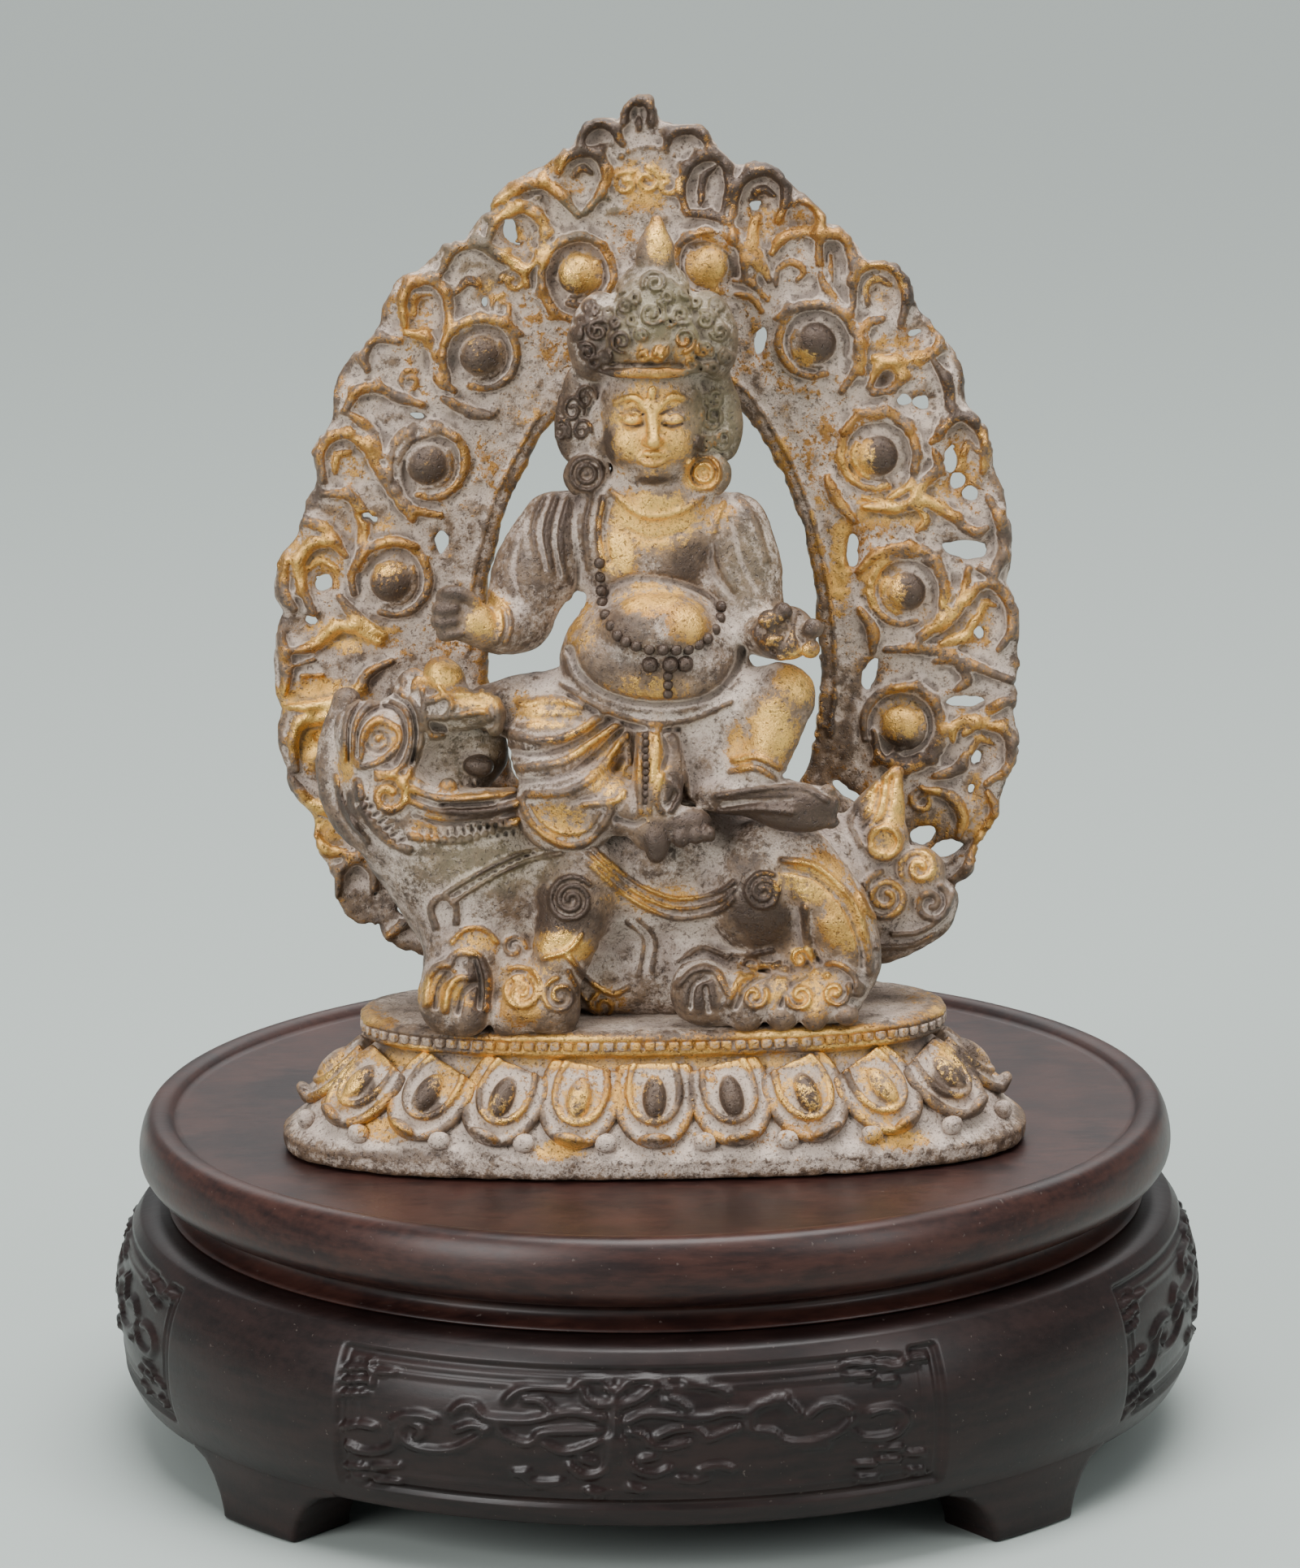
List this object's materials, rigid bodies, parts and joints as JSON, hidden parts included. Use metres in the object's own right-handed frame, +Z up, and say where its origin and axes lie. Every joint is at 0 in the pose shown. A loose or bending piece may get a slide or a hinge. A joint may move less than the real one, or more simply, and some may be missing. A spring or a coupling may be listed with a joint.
{
  "type": "bronze buddhist statue",
  "caption": "Gilt bronze wealth deity riding a lion on a lotus throne, with a pierced halo behind, on a round carved hardwood stand.",
  "frame": {"origin": "middle of the stand's underside, on the surface it stands on", "axes": "+Z up; the figure faces -Y; +X is on the right when it is seen from the front"},
  "size_m": [0.176, 0.176, 0.2147],
  "materials": {
    "gilt_bronze": "worn gilding over dark bronze with grey dust in the hollows",
    "hardwood": "dark red-brown polished hardwood"
  },
  "bodies": {
    "root": {"figure_lion_and_throne": "gilt_bronze", "halo": "gilt_bronze", "stand_top": "hardwood", "stand_base": "hardwood"}
  },
  "joints": []
}
